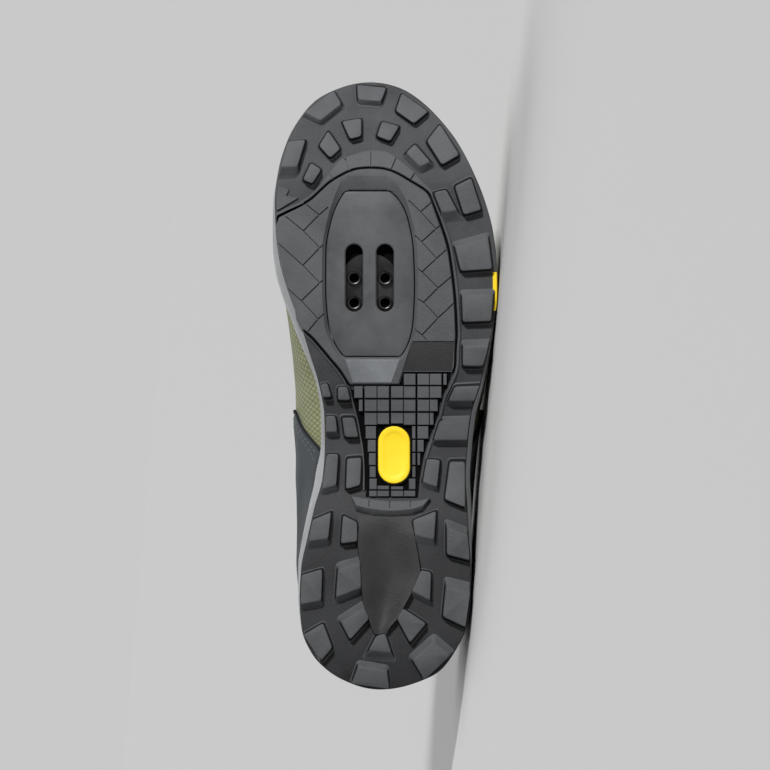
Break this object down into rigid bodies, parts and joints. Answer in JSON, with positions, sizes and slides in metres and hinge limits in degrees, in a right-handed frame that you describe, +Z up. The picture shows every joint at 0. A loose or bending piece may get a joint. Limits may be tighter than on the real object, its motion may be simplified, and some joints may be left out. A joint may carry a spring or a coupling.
{
  "type": "cycling shoe",
  "caption": "Left clip-in mountain-bike shoe with lugged rubber sole, recessed slotted cleat plate, textile upper and laced throat, lying on its outer side.",
  "frame": {"origin": "centre of the bounding box's footprint, on the floor under the shoe's outer side", "axes": "+X along the floor from heel to toe, +Y from the sole towards the collar, +Z up from the outer side to the inner side"},
  "size_m": [0.2748, 0.1176, 0.105],
  "materials": {
    "rubber": "matte",
    "sidewall": "matte",
    "nylon": "matte",
    "steel": "satin",
    "yellow": "satin",
    "olive": "matte",
    "slate": "matte",
    "dark_knit": "matte",
    "eyelet_metal": "satin",
    "lace_cord": "matte"
  },
  "bodies": {
    "shoe": {"cleat_plate": "nylon", "eyelet_inner_1": "eyelet_metal", "eyelet_inner_2": "eyelet_metal", "eyelet_inner_3": "eyelet_metal", "eyelet_inner_4": "eyelet_metal", "eyelet_inner_5": "eyelet_metal", "eyelet_inner_6": "eyelet_metal", "eyelet_outer_1": "eyelet_metal", "eyelet_outer_2": "eyelet_metal", "eyelet_outer_3": "eyelet_metal", "eyelet_outer_4": "eyelet_metal", "eyelet_outer_5": "eyelet_metal", "eyelet_outer_6": "eyelet_metal", "eyestay": "slate", "heel_quarter": "slate", "insole": "dark_knit", "lace_bar_1": "lace_cord", "lace_bar_2": "lace_cord", "lace_bar_3": "lace_cord", "lace_bar_4": "lace_cord", "lace_bar_5": "lace_cord", "lace_bar_6": "lace_cord", "midsole": "sidewall", "outsole": "rubber", "side_tag": "yellow", "sole_inlay": "yellow", "tongue": "dark_knit", "upper": "olive"},
    "nut_plate": {"cleat_nut_plate": "steel"}
  },
  "joints": [
    {"name": "nut_slide", "type": "slide", "parent": "shoe", "child": "nut_plate", "axis": [0.9966, 0, 0.0828], "range_m": [-0.0006, 0.0115]}
  ]
}
